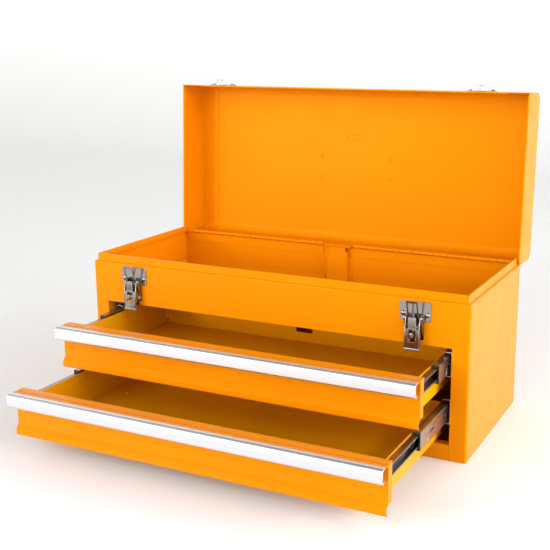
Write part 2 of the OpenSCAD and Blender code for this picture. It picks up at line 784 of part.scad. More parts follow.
// Front, top and back in one sheet, with pads pressed up for the handle to rest on
module lid_wrap() {
    color(PAINT) on_lid() difference() {
        union() {
            difference() {
                along_x(-side_x, side_x) lid_section(0);
                along_x(-side_x - over, side_x + over) difference() {
                    lid_section(sheet);
                    translate([lid_front_y - over, lid_z - over]) square([over, over]);
                }
                block([-side_x - over, 0, lid_z - over], [side_x + over, back_y + over, lid_back_z]);
                block([-side_x - over, lid_front_y + sheet, lid_z - over],
                      [side_x + over, back_y - sheet, lid_z + over]);
            }
            block([cap_flange + sheet - side_x, lid_front_y + sheet / 2, lid_z],
                  [side_x - cap_flange - sheet, lid_front_y + 2 * sheet, lid_z + hem_h]);
            for (s = [-1, 1]) translate([0, s * handle_reach, lid_top_z - sheet])
                linear_extrude(sheet + pad_h) round_rect([-pad_l, -pad_w] / 2, [pad_l, pad_w] / 2, 3);
        }
        for (s = [-1, 1]) translate([0, s * handle_reach, lid_top_z - sheet - over])
            linear_extrude(pad_h + over)
                round_rect([sheet - pad_l / 2, sheet - pad_w / 2], [pad_l / 2 - sheet, pad_w / 2 - sheet], 2);
        for (x = [-bracket_x, bracket_x], s = [-1, 1])
            translate([x, s * bracket_pitch / 2, lid_top_z - sheet - over])
                cylinder(h = sheet + 2 * over, r = 2.4);
        for (x = [-latch_x, latch_x], s = [-1, 1])
            rod_y(lid_front_y - over, lid_front_y + 2 * sheet + over, x + s * keeper_rivet_x, keeper_z, 2.1);
    }
}

// End cap: a plate that fits inside the wrap, with a hem below and a flange for welding
module lid_end() {
    in = side_x - 0.1;
    difference() {
        union() {
            along_x(in - sheet, in) lid_section(sheet + lay);
            along_x(in - cap_flange, in) difference() {
                lid_section(sheet + lay);
                lid_section(2 * sheet);
                translate([lid_front_y, lid_z]) square([lid_d, hem_h + 1.5]);
                translate([back_y - lid_r, lid_z]) square([lid_r, lid_h - lid_r]);
            }
            block([in - 2 * sheet, lid_front_y + 4 * sheet, lid_z],
                  [in - sheet + 0.01, hinge_y - 1, lid_z + hem_h]);
        }
        block([in - 2 * sheet - over, back_y - 2 * sheet, lid_z - over],
              [in + over, back_y + over, lid_back_z]);
    }
}

module lid_right_end() {
    color(PAINT) on_lid() lid_end();
}

module lid_left_end() {
    color(PAINT) on_lid() mirror([1, 0, 0]) lid_end();
}

// ---- Latches, drawn on the middle line in depth f and height z ------------------------

// Turns a drawing in depth forward of the face and height into the front of the box
module facing(x0, x1) {
    translate([0, front_y, 0]) mirror([0, 1, 0]) along_x(x0, x1) children();
}

module at_latch(side) {
    translate([side * latch_x, 0, 0]) children();
}

// A plate's outline drawn in X and Z, standing t thick on the front face from depth f
module plate(f, t) {
    translate([0, front_y - f, 0]) rotate([90, 0, 0]) linear_extrude(t) children();
}

// T-shaped plate with riveted wings, two ears for the lever and the padlock staple
module latch_base() {
    wing = wing_w / 2;
    stem = ear_x + latch_t;
    bend = 2.5;
    color(BRIGHT) difference() {
        union() {
            plate(lay, latch_t) {
                round_rect([-wing, wing_low_z], [wing, wing_top_z], 3);
                round_rect([-stem, staple_low - 4], [stem, wing_low_z + 6], 1.5);
                round_rect([-slot_half - 2.5, pivot_z - lever_l + 2], [slot_half + 2.5, staple_low], 2);
            }
            both_sides() facing(ear_x, stem) {
                translate([pivot_f, pivot_z]) circle(3.5);
                polygon([[lay + latch_t / 2, pivot_z + 3.5], [pivot_f, pivot_z + 3.5],
                         [pivot_f + 3.5, pivot_z], [pivot_f + 3, pivot_z - 7],
                         [lay + latch_t / 2, staple_low - 2]]);
            }
            facing(-1.3, 1.3) difference() {
                union() {
                    translate([lay + latch_t / 2, staple_low])
                        square([staple_f - bend - latch_t / 2, staple_top - staple_low]);
                    for (z = [staple_low + bend, staple_top - bend])
                        translate([staple_f - bend, z]) circle(bend);
                    translate([staple_f - bend, staple_low + bend])
                        square([bend, staple_top - staple_low - 2 * bend]);
                }
                translate([8, staple_low + 2]) square([staple_f - 10, staple_top - staple_low - 4]);
            }
        }
        both_sides() rod_x(ear_x - over, stem + over, front_y - pivot_f, pivot_z, pivot_r + run);
        for (s = [-1, 1])
            rod_y(front_y - 3, front_y + over, s * wing_rivet_x, wing_rivet_z, latch_rivet_r);
    }
}

// Rivets that hold the latch plates to the header
module latch_base_rivets() {
    color(BRIGHT) for (side = [-1, 1], s = [-1, 1])
        translate([side * latch_x + s * wing_rivet_x, front_y - latch_t - 2 * lay, wing_rivet_z])
            rotate([90, 0, 0]) rivet(3, 1.5, latch_rivet_r - run, latch_t);
}

// Rivets in the ears that the levers swing on
module lever_pivot_rivets() {
    head = ear_x + latch_t;
    color(BRIGHT) for (side = [-1, 1]) at_latch(side) both_sides() {
        rod_x(lever_w / 2 - latch_t, head + 0.01, front_y - pivot_f, pivot_z, pivot_r);
        rod_x(head + lay, head + 1, front_y - pivot_f, pivot_z, pivot_r + 1);
    }
}

// The lever: a channel that hangs over the staple, with a slot for it and a curled tip. Its
// face narrows to a tongue at the top, so that the link's window passes over it.
module latch_lever() {
    half = lever_w / 2;
    tip_z = pivot_z - lever_l;
    curl = 3;
    mid_f = lever_f + latch_t / 2;
    face = concat([[lever_f, face_top]], arc([lever_f + curl, tip_z + curl], curl, 180, 260, 6));
    color(BRIGHT) difference() {
        union() {
            facing(-half, half) polygon(folded(face, latch_t));
            plate(lever_f, latch_t)
                round_rect([-tongue_w / 2, slot_top_z - 1], [tongue_w / 2, tongue_top], 1.2);
            both_sides() facing(half - latch_t, half) {
                translate([pivot_f, pivot_z]) circle(3.4);
                polygon([[pivot_f + 3.3, pivot_z + 0.8], [mid_f, face_top], [mid_f, slot_low_z],
                         [lever_f - 2, slot_low_z], [link_f - 2, link_z - 4],
                         [pivot_f - 3.4, pivot_z]]);
            }
            plate(lever_f + latch_t / 2, latch_t / 2 + 0.8) difference() {
                round_rect([-slot_half - 1, slot_low_z - 1], [slot_half + 1, slot_top_z], 3);
                translate([-half, slot_low_z + 4]) square([lever_w, slot_top_z - slot_low_z]);
            }
        }
        rod_x(-half - over, half + over, front_y - pivot_f, pivot_z, pivot_r + run);
        rod_x(-half - over, half + over, front_y - link_f, link_z, link_pin_r + run);
        plate(lever_f - 0.5, latch_t + 2) round_rect([-slot_half, slot_low_z], [slot_half, slot_top_z], 2);
    }
}

// Pin that joins the link to the lever
module link_pin() {
    color(BRIGHT) rod_x(-lever_w / 2, lever_w / 2, front_y - link_f, link_z, link_pin_r);
}

// The link: two eyes on the pin and a frame whose bar drops behind the keeper's tongue
module latch_link() {
    eye_r = 2.3;
    t = latch_t;
    color(BRIGHT) translate([0, front_y - link_f, link_z]) rotate([link_lean, 0, 0]) difference() {
        union() {
            block([-link_w / 2, -t / 2, 0], [link_w / 2, t / 2, link_l - 2]);
            block([-link_w / 2 + 2, -t / 2, link_l - 3], [link_w / 2 - 2, t / 2, link_l]);
            for (s = [-1, 1]) rod_y(-t / 2, t / 2, s * (link_w / 2 - 2), link_l - 2, 2);
            rod_x(-link_w / 2, link_w / 2, 0, 0, eye_r);
        }
        rod_x(-link_w / 2 - over, link_w / 2 + over, 0, 0, link_pin_r + run);
        block([-window_w / 2, -t, window_low], [window_w / 2, t, link_l - link_bar]);
        block([-window_w / 2, -eye_r - over, -eye_r - over], [window_w / 2, eye_r + over, window_low + 0.01]);
    }
}

// Keeper on the lid: a riveted plate with a neck and a tongue that the link drops over
module keeper() {
    f0 = lid_overhang + lay;
    tongue_f = pivot_f + 3;
    color(BRIGHT) difference() {
        union() {
            plate(f0, latch_t) {
                round_rect([-wing_w / 2, keeper_z - keeper_h / 2], [wing_w / 2, keeper_z + keeper_h / 2], 3);
                translate([-link_w / 2, neck_z - 1.5]) square([link_w, keeper_z - neck_z]);
            }
            block([-2.5, front_y - tongue_f - 0.1, neck_z - 1.5], [2.5, front_y - f0 - 0.1, neck_z]);
            block([-4.5, front_y - tongue_f - latch_t, neck_z - 1.5], [4.5, front_y - tongue_f, neck_z + 3]);
        }
        for (s = [-1, 1])
            rod_y(lid_front_y - 3, lid_front_y + over, s * keeper_rivet_x, keeper_z, latch_rivet_r);
    }
}

module keeper_rivets() {
    color(BRIGHT) on_lid() for (side = [-1, 1], s = [-1, 1])
        translate([side * latch_x + s * keeper_rivet_x, lid_front_y - latch_t - 2 * lay, keeper_z])
            rotate([90, 0, 0]) rivet(3, 1.5, latch_rivet_r - run, latch_t + 2 * sheet);
}

// ---- Handle --------------------------------------------------------------------------

// Saddles on the lid's top that the handle's ends turn in
module handle_brackets() {
    half = bracket_w / 2;
    foot = bracket_pitch / 2 + 5.5;
    r = rod_r + run;
    color(BRIGHT) on_lid() for (x = [-bracket_x, bracket_x]) translate([x, 0, lid_top_z + lay])
        difference() {
            union() {
                linear_extrude(1.5) round_rect([-half, -foot], [half, foot], 3);
                rod_x(-half, half, 0, rod_z, r + 1.5);
                block([-half, -r - 1.5, 0], [half, r + 1.5, rod_z]);
            }
            rod_x(-half - over, half + over, 0, rod_z, r);
            block([-half - over, -r, -over], [half + over, r, rod_z - r + 0.2]);
            for (s = [-1, 1]) translate([0, s * bracket_pitch / 2, -over]) cylinder(h = 4, r = 2.4);
        }
}

module handle_rivets() {
    color(PAINT) on_lid() for (x = [-bracket_x, bracket_x], s = [-1, 1])
        translate([x, s * bracket_pitch / 2, lid_top_z - sheet - lay]) rotate([180, 0, 0])
            rivet(3.2, 1.2, 2.4 - run, sheet + 1.5);
}

// Places what is drawn along +Y from the pivot, as the handle hangs
module on_handle() {
    on_lid() translate([0, 0, lid_top_z + rod_z]) rotate([handle_rest, 0, 0]) children();
}

// Bent rod: pins through the brackets with upset ends, two arms and the bar under the grip
module handle_bail() {
    pin_in = bracket_x - bracket_w / 2 - 1;
    bar = arm_x - bend_r;
    color(BRIGHT) on_handle() both_sides() {
        rod_x(pin_in - 1, arm_x - elbow_r, 0, 0, rod_r);
        rod_x(pin_in - 2.2, pin_in - 0.6, 0, 0, rod_r + 0.9);
        translate([arm_x - elbow_r, elbow_r, 0]) rotate([0, 0, -90]) rotate_extrude(angle = 90)
            translate([elbow_r, 0]) circle(rod_r);
        rod_y(elbow_r, handle_reach - bend_r, arm_x, 0, rod_r);
        translate([bar, handle_reach - bend_r, 0]) rotate_extrude(angle = 90)
            translate([bend_r, 0]) circle(rod_r);
        rod_x(-0.01, bar, handle_reach, 0, rod_r);
    }
}

// Moulded grip: a barrel with end collars, split by shallow finger rings
module handle_grip() {
    half = grip_l / 2;
    ring = 8;
    rings = floor((grip_l - 24) / ring);
    color(BLACK) on_handle() translate([0, handle_reach, 0]) rotate([0, 90, 0])
        difference() {
            rotate_extrude() polygon(concat(
                [[rod_r, -half], [grip_r - 1, -half]], arc([grip_r - 1, 1 - half], 1, 270, 360, 4),
                [[grip_r, 5 - half], [grip_r - 0.8, 8 - half], [grip_r - 0.8, half - 8],
                 [grip_r, half - 5]],
                arc([grip_r - 1, half - 1], 1, 0, 90, 4), [[rod_r, half]]));
            for (i = [0:rings]) translate([0, 0, (i - rings / 2) * ring])
                rotate_extrude() translate([grip_r, 0]) circle(1.4);
        }
}

// ---- Drawer lock ---------------------------------------------------------------------

// Channel on the back wall that hides and guides the lock bar
module lock_channel() {
    half = channel_w / 2;
    wall = back_y - sheet - lay;
    top = hinge_z - 8;
    weld_top = hinge_z - plate_gap - leaf_h - free;
    path = [[-half - 7, wall], [-half, wall], [-half, wall - channel_d], [half, wall - channel_d],
            [half, wall], [half + 7, wall]];
    short = [[-half, wall - sheet - 0.2], [-half, wall - channel_d], [half, wall - channel_d],
             [half, wall - sheet - 0.2]];
    color(PAINT) difference() {
        union() {
            translate([0, 0, flange_h + lay]) linear_extrude(weld_top - flange_h - lay)
                polygon(folded(path, -sheet));
            translate([0, 0, weld_top - 1]) linear_extrude(top - weld_top + 1)
                polygon(folded(short, -sheet));
        }
        for (z = [lower_z, upper_z])
            block([-hook_w / 2 - 2, wall - channel_d - 3, z + hook_arm - lock_drop - 1],
                  [hook_w / 2 + 2, wall - channel_d + 3, z + hook_arm + 3]);
    }
}

// Fork on the lid's back wall: its prongs swing under the bar's head and lift it
module lock_lifter() {
    y0 = back_y - 2 * sheet;
    color(PAINT) on_lid() difference() {
        block([-prong_out, y0, hinge_z - 7], [prong_out, y0 + sheet - lay, lid_back_z + 9]);
        block([-prong_in, y0 - over, hinge_z - 7 - over], [prong_in, y0 + sheet + over, hinge_z + 2.4]);
    }
}

// The bar: a strip with a wide head above the prongs and a hook for each drawer
module lock_bar() {
    color(PAINT) {
        block([-bar_x, bar_y, lower_z + 12], [bar_x, bar_y + bar_t, head_z + bar_t]);
        block([-prong_out, head_front_y, head_z], [prong_out, bar_y + bar_t, head_z + bar_t]);
        for (z = [lower_z, upper_z]) {
            hook_y = box_back_y - sheet - 3.5;
            block([-hook_w / 2, hook_y - bar_t, z + hook_arm], [hook_w / 2, bar_y + 0.01, z + hook_arm + bar_t]);
            block([-hook_w / 2, hook_y - bar_t, z + hook_low],
                  [hook_w / 2, hook_y, z + hook_arm + bar_t]);
        }
    }
}

// ---- Places --------------------------------------------------------------------------

module out(distance) {
    translate([0, -distance, 0]) children();
}

cabinet_shell();
front_frame();
base_pan();
compartment_floor();
front_slide_posts();
rear_slide_posts();
lock_channel();
outer_slides(upper_z);  // upper_outer_slides
outer_slides(lower_z);  // lower_outer_slides
slide_post_rivets();
hinge_body_leaves();
hinge_pins();
at_latch(1) latch_base();  // right_latch_base
at_latch(-1) latch_base();  // left_latch_base
latch_base_rivets();
lever_pivot_rivets();
at_latch(1) latch_lever();  // right_latch_lever
at_latch(-1) latch_lever();  // left_latch_lever
at_latch(1) link_pin();  // right_link_pin
at_latch(-1) link_pin();  // left_link_pin
at_latch(1) latch_link();  // right_latch_link
at_latch(-1) latch_link();  // left_latch_link
lid_wrap();
lid_left_end();
lid_right_end();
hinge_lid_leaves();
lock_lifter();
on_lid() at_latch(1) keeper();  // right_keeper
on_lid() at_latch(-1) keeper();  // left_keeper
keeper_rivets();
handle_brackets();
handle_rivets();
handle_bail();
handle_grip();
out(upper_out) drawer_box(upper_z);  // upper_drawer_box
out(upper_out) drawer_inner_front(upper_z);  // upper_drawer_inner_front
out(upper_out) drawer_front(upper_z);  // upper_drawer_front
out(upper_out) drawer_pull(upper_z);  // upper_drawer_pull
out(upper_out) inner_slides(upper_z);  // upper_inner_slides
out(upper_out) drawer_rivets(upper_z);  // upper_drawer_rivets
out(upper_out) release_levers(upper_z);  // upper_release_levers
out(lower_out) drawer_box(lower_z);  // lower_drawer_box
out(lower_out) drawer_inner_front(lower_z);  // lower_drawer_inner_front
out(lower_out) drawer_front(lower_z);  // lower_drawer_front
out(lower_out) drawer_pull(lower_z);  // lower_drawer_pull
out(lower_out) inner_slides(lower_z);  // lower_inner_slides
out(lower_out) drawer_rivets(lower_z);  // lower_drawer_rivets
out(lower_out) release_levers(lower_z);  // lower_release_levers
out(upper_out * upper_share) mid_slides(upper_z);  // upper_mid_slides
out(upper_out * upper_share) slide_bumpers(upper_z);  // upper_slide_bumpers
out(lower_out * lower_share) mid_slides(lower_z);  // lower_mid_slides
out(lower_out * lower_share) slide_bumpers(lower_z);  // lower_slide_bumpers
out(upper_out * upper_share / 2) outer_cages(upper_z);  // upper_outer_cages
out(upper_out * (1 + upper_share) / 2) inner_cages(upper_z);  // upper_inner_cages
out(lower_out * lower_share / 2) outer_cages(lower_z);  // lower_outer_cages
out(lower_out * (1 + lower_share) / 2) inner_cages(lower_z);  // lower_inner_cages
lock_bar();
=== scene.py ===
import json
import math

import bmesh
import bpy
from mathutils import Matrix, Vector

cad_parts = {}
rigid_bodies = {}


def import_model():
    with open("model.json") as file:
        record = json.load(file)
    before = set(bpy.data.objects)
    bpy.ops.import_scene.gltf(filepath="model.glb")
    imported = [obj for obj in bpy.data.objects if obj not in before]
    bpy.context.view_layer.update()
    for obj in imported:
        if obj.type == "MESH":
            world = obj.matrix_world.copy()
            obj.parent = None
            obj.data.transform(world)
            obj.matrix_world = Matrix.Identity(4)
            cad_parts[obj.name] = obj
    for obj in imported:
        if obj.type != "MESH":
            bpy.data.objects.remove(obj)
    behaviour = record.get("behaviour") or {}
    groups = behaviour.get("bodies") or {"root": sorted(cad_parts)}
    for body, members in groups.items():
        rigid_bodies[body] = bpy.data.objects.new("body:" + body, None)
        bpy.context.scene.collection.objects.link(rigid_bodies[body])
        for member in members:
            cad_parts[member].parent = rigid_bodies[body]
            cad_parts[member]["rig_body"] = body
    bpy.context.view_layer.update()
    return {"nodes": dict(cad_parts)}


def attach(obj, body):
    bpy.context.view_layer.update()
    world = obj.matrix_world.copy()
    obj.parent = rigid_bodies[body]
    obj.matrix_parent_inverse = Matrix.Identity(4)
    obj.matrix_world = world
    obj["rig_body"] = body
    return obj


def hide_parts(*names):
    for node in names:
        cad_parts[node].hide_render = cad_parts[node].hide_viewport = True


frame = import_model()

# How far cut and folded edges are eased, in metres
SHEET_EDGE = 0.00025
TUCKED_EDGE = 0.00008    # sheets with sharp corners, where a wider bevel would stick out
STRIP_EDGE = 0.00018     # fixed slide members and their rivets
MEMBER_EDGE = 0.00012    # moving slide members and the ball cages
LEAF_EDGE = 0.00015      # rolled hinge leaves
PIN_EDGE = 0.0001        # pins, the handle's rod and the other rivets
FITTING_EDGE = 0.0002    # pulls, and the handle's saddles and rivets
LATCH_EDGE = 0.0003      # latches, keepers and the grip

# An edge is eased where it turns by more than this, in degrees. Round pieces take more, so
# that the steps between their facets are left out.
FOLD_TURN = 32
FACET_TURN = 40

# Points nearer than this, in metres, are one, and faces that turn by less, in degrees, are flat
SAME_POINT = 2e-6
FLAT_TURN = 0.6


def linear(colour):
    """An sRGB hex colour as the linear colour that a shader takes."""
    parts = [int(colour[i:i + 2], 16) / 255 for i in (1, 3, 5)]
    return [p / 12.92 if p <= 0.04045 else ((p + 0.055) / 1.055) ** 2.4 for p in parts] + [1]


def add(tree, kind, feeds, **looks):
    """Adds a shader node, gives it its settings, and links or fills its inputs."""
    node = tree.nodes.new("ShaderNode" + kind)
    for name, value in looks.items():
        setattr(node, name, value)
    for socket, value in feeds.items():
        if isinstance(value, bpy.types.NodeSocket):
            tree.links.new(value, node.inputs[socket])
        else:
            node.inputs[socket].default_value = value
    return node


def surface(name, **numbers):
    """A new material and what its patterns need: the tree, the shader and the place in metres."""
    mat = bpy.data.materials.new(name)
    mat.use_nodes = True
    shader = mat.node_tree.nodes["Principled BSDF"]
    for socket, value in numbers.items():
        shader.inputs[socket.replace("_", " ")].default_value = value
    place = add(mat.node_tree, "TexCoord", {}).outputs["Object"]
    return mat, mat.node_tree, shader, place


def noise(tree, place, size, detail, **more):
    """A noise pattern whose blotches are about so many metres across."""
    feeds = {"Vector": place, "Scale": 1 / size, "Detail": detail, **more}
    return add(tree, "TexNoise", feeds).outputs["Fac"]


def grain(tree, place, sizes, detail):
    """A noise pattern with its own size along X, Y and Z, in metres, so that it makes lines."""
    drawn = add(tree, "Mapping", {"Vector": place, "Scale": [1 / size for size in sizes]})
    return noise(tree, drawn.outputs["Vector"], 1.0, detail)


def tint(tree, shader, pattern, clean, other):
    """Lets the base colour drift between two colours with a pattern."""
    mix = add(tree, "Mix", {0: pattern, 6: linear(clean), 7: linear(other)}, data_type="RGBA")
    tree.links.new(mix.outputs[2], shader.inputs["Base Color"])


def gloss(tree, shader, pattern, low, high, middle=(0.3, 0.7)):
    """Lets the roughness run from low to high over the middle of a pattern's values."""
    span = add(tree, "MapRange", {"Value": pattern, "From Min": middle[0],
                                  "From Max": middle[1], "To Min": low, "To Max": high})
    tree.links.new(span.outputs["Result"], shader.inputs["Roughness"])


def relief(tree, shader, pattern, strength, height):
    """Raises the surface with a pattern, by a height in metres."""
    bump = add(tree, "Bump", {"Height": pattern, "Strength": strength, "Distance": height})
    tree.links.new(bump.outputs["Normal"], shader.inputs["Normal"])


def seated(bm, name, coat, body):
    """Turns a finished bmesh into an object that rides on a body."""
    mesh = bpy.data.meshes.new(name)
    bm.to_mesh(mesh)
    bm.free()
    mesh.materials.append(coat)
    piece = bpy.data.objects.new(name, mesh)
    bpy.context.scene.collection.objects.link(piece)
    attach(piece, body)
    return piece


def eased(name, coat, edge=SHEET_EDGE, turn=FOLD_TURN):
    """A copy of a CAD piece with its cut and folded edges eased, which stands for that piece."""
    node = frame["nodes"][name]
    bm = bmesh.new()
    bm.from_mesh(node.data)
    bmesh.ops.remove_doubles(bm, verts=bm.verts, dist=SAME_POINT)
    bmesh.ops.dissolve_limit(bm, angle_limit=math.radians(FLAT_TURN), verts=bm.verts,
                             edges=bm.edges)
    for face in bm.faces:
        face.smooth = True
    piece = seated(bm, name + "_finish", coat, node["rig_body"])
    ease = piece.modifiers.new("ease", "BEVEL")
    ease.limit_method = "ANGLE"
    ease.angle_limit = math.radians(turn)
    ease.width = edge
    ease.segments = 2
    ease.use_clamp_overlap = False
    ease.harden_normals = True
    even = piece.modifiers.new("even", "WEIGHTED_NORMAL")
    even.keep_sharp = True
    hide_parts(name)


def beads(name, coat, body, runs):
    """Round-ended beads, part sunk into the sheet that they stiffen: a start, an end and a
    radius for each, in millimetres."""
    bm = bmesh.new()
    for start, end, radius in runs:
        start, end = Vector(start) / 1000, Vector(end) / 1000
        way = end - start
        made = bmesh.ops.create_uvsphere(bm, u_segments=16, v_segments=9, radius=radius / 1000)
        for vert in made["verts"]:
            vert.co.z += math.copysign(way.length / 2, vert.co.z)
        turned = way.to_track_quat("Z", "Y").to_matrix().to_4x4()
        bmesh.ops.transform(bm, matrix=Matrix.Translation((start + end) / 2) @ turned,
                            verts=made["verts"])
    for face in bm.faces:
        face.smooth = True
    seated(bm, name, coat, body)


# Cabinet: back and sides in one folded steel sheet, the front frame, the base and the floor
# of the open top, spot-welded together and then coated in one go, so that the yellow runs
# unbroken over seams and inside corners.
def polyester_powder(name, clean, warm):
    """Gloss polyester powder coat, sprayed and baked: a deep even colour under a soft gloss
    that waves slightly, the orange peel, with faint hand marks in the shine. The shine takes
    some of the coat's colour."""
    mat, tree, shader, place = surface(name, IOR=1.5, Metallic=0.0, Specular_IOR_Level=0.4,
                                       Specular_Tint=linear("#FFA030"))
    drift = noise(tree, place, 0.11, 2.0)
    tint(tree, shader, drift, clean, warm)
    marks = noise(tree, place, 0.035, 4.0, Roughness=0.6)
    gloss(tree, shader, marks, 0.30, 0.42)
    # the peel's waves are about 1.5 mm long; drawn at 3 mm so that they show at this size
    peel = noise(tree, place, 0.003, 1.0)
    relief(tree, shader, peel, 0.35, 0.00005)
    return mat


yellow = polyester_powder("polyester_powder_yellow", "#DB8303", "#D67D02")
for name in ("cabinet_shell", "front_frame", "compartment_floor", "lock_channel"):
    eased(name, yellow)
eased("base_pan", yellow, edge=TUCKED_EDGE)


# Slide posts and the fixed slide members: cold-rolled strip, zinc plated and passivated,
# so the grey metal has a faint warm bloom and rolling lines along it. Rivets hold them.
def zinc_plate(name, clean, bloom, along, shine):
    """Passivated zinc over rolled strip: a dull metal sheen with cloudy bloom and fine lines
    along the strip."""
    mat, tree, shader, place = surface(name, Metallic=1.0)
    cloud = noise(tree, place, 0.014, 5.0)
    tint(tree, shader, cloud, clean, bloom)
    lines = grain(tree, place, [0.05 if axis == along else 0.0012 for axis in "xyz"], 3.0)
    gloss(tree, shader, lines, shine, shine + 0.16)
    relief(tree, shader, lines, 0.25, 0.00003)
    return mat


zinc = zinc_plate("zinc_plate_passivated", "#C9BFBA", "#9A908C", "y", 0.26)
zinc_upright = zinc_plate("zinc_plate_posts", "#A5A19E", "#87827F", "z", 0.36)
for name in ("front_slide_posts", "rear_slide_posts"):
    eased(name, zinc_upright)
for name in ("upper_outer_slides", "lower_outer_slides", "slide_post_rivets"):
    eased(name, zinc, edge=STRIP_EDGE)


# Piano hinge along the back, in two halves beside the lock: rolled leaves that were welded
# on before coating, so they are yellow too, on drawn steel pins. The pins are coloured a dark
# steel so that the gaps between the knuckles show as dark lines: painted shade.
def drawn_steel(name, colour):
    """Drawn steel wire in the colour given: smooth, with draw lines too fine to see one by one.
    """
    mat, tree, shader, place = surface(name, Metallic=1.0, Base_Color=linear(colour))
    haze = noise(tree, place, 0.002, 2.0)
    gloss(tree, shader, haze, 0.2, 0.4, middle=(0.0, 1.0))
    return mat


# Dark steel for the pins: painted shade in the gaps between the knuckles
pin_steel_darkened_for_gap_shade = drawn_steel("drawn_steel_wire_gap_shade", "#77736F")
eased("hinge_body_leaves", yellow, edge=LEAF_EDGE)
eased("hinge_lid_leaves", yellow, edge=LEAF_EDGE)
eased("hinge_pins", pin_steel_darkened_for_gap_shade, edge=PIN_EDGE)


# Draw latches: each a riveted plate with its staple, a lever with a slot for the staple, a
# pin and a link. Stamped from steel strip and nickel plated bright, with fine polish lines.
def bright_nickel(name, clean, film_colour):
    """Bright nickel plate on stamped steel: a warm white mirror, softened by polish lines."""
    mat, tree, shader, place = surface(name, Metallic=1.0)
    film = noise(tree, place, 0.008, 4.0)
    tint(tree, shader, film, clean, film_colour)
    lines = grain(tree, place, (0.0007, 0.0007, 0.012), 3.0)
    gloss(tree, shader, lines, 0.12, 0.24)
    relief(tree, shader, lines, 0.15, 0.00003)
    return mat


nickel = bright_nickel("bright_nickel_plate", "#ABA59E", "#807A74")
for side in ("right", "left"):
    for part in ("latch_base", "latch_lever", "latch_link", "keeper"):
        eased(side + "_" + part, nickel, edge=LATCH_EDGE)
    eased(side + "_link_pin", nickel, edge=PIN_EDGE)
for name in ("latch_base_rivets", "lever_pivot_rivets", "keeper_rivets"):
    eased(name, nickel, edge=PIN_EDGE, turn=FACET_TURN)

# Stamped into each lever: a bead along either edge and five fine ribs for the thumb. They
# run 0.1 mm under the lever's outer face. Millimetres, at rest.
LATCH_X = 195
LEVER_BEAD_Y = -122.1
EDGE_BEAD_X, EDGE_BEAD_Z, EDGE_BEAD_R = 8.5, (134.8, 156), 0.6
RIB_PITCH, RIB_Z, RIB_R = 1.7, (159, 169), 0.5


def upright_bead(x, heights, radius):
    """A bead that runs up a lever's face at a distance from the middle of the box."""
    return (x, LEVER_BEAD_Y, heights[0]), (x, LEVER_BEAD_Y, heights[1]), radius


for side, x in (("right", LATCH_X), ("left", -LATCH_X)):
    edges = [upright_bead(x + s * EDGE_BEAD_X, EDGE_BEAD_Z, EDGE_BEAD_R) for s in (-1, 1)]
    ribs = [upright_bead(x + s * RIB_PITCH, RIB_Z, RIB_R) for s in range(-2, 3)]
    beads(side + "_lever_beads", nickel, side + "_lever", edges + ribs)


# Lid: front, top and back folded from one sheet with hemmed edges, and an end cap welded
# into each end. The fork that lifts the lock bar is welded to its back.
for name in ("lid_wrap", "lid_left_end", "lid_right_end", "lock_lifter"):
    eased(name, yellow)


# Handle: a bent rod in two riveted saddles, with a moulded grip. It hangs behind the lid.
def moulded_plastic(name, colour, spark_size, shine):
    """Black moulded plastic, with a spark-eroded texture that keeps its shine soft."""
    mat, tree, shader, place = surface(name, IOR=1.49, Metallic=0.0, Base_Color=linear(colour))
    spark = noise(tree, place, spark_size, 3.0)
    gloss(tree, shader, spark, shine, shine + 0.14)
    relief(tree, shader, spark, 0.3, 0.00006)
    return mat


grip_black = moulded_plastic("polypropylene_grip_black", "#1D1D1F", 0.0012, 0.40)
eased("handle_brackets", nickel, edge=FITTING_EDGE, turn=FACET_TURN)
eased("handle_rivets", yellow, edge=FITTING_EDGE, turn=FACET_TURN)
eased("handle_bail", zinc, edge=PIN_EDGE, turn=FACET_TURN)
eased("handle_grip", grip_black, edge=LATCH_EDGE)


# Drawers: a folded tray, its inner front and a front pressing, riveted to the slides and
# coated like the cabinet, though the trays take a yellower copy of the coat, set for the shade
# inside them. The extruded aluminium pull slips over the front's lip.
def satin_anodised(name, clean, shade):
    """Satin anodised aluminium extrusion: nearly white, with die lines along its length."""
    mat, tree, shader, place = surface(name, Metallic=1.0)
    lines = grain(tree, place, (0.25, 0.0011, 0.0011), 4.0)
    tint(tree, shader, lines, clean, shade)
    gloss(tree, shader, lines, 0.34, 0.48)
    relief(tree, shader, lines, 0.2, 0.00002)
    return mat


alloy = satin_anodised("satin_anodised_aluminium", "#E2E3E6", "#CDCFD4")
# A yellower copy of the coat for the trays: colour set for the shade inside them, where bounced
# light turns the coat redder.
yellow_set_for_tray_shade = polyester_powder("polyester_powder_drawers_shade_set", "#DC9806", "#D69004")
for level in ("upper", "lower"):
    eased(level + "_drawer_box", yellow_set_for_tray_shade)
    eased(level + "_drawer_inner_front", yellow, edge=TUCKED_EDGE)
    eased(level + "_drawer_front", yellow)
    eased(level + "_drawer_pull", alloy, edge=FITTING_EDGE)
    eased(level + "_drawer_rivets", yellow, edge=PIN_EDGE, turn=FACET_TURN)


# Moving slide members, their ball cages, and the black moulded bumpers and release levers.
# A stop for the cage is pressed out of each middle member's web as a short arc, behind the
# member's front end and below its middle. Millimetres, at rest.
WEB_X = 233.5
STOP_BACK, STOP_DOWN = 21, 4
STOP_ARC_R, STOP_BEAD_R = 4.5, 0.5
STOP_ANGLES = [quarter / 4 for quarter in range(-9, 4)]
MEMBER_PLACE = {"upper": (-135.4, 113), "lower": (-193.1, 55.5)}    # front end and middle

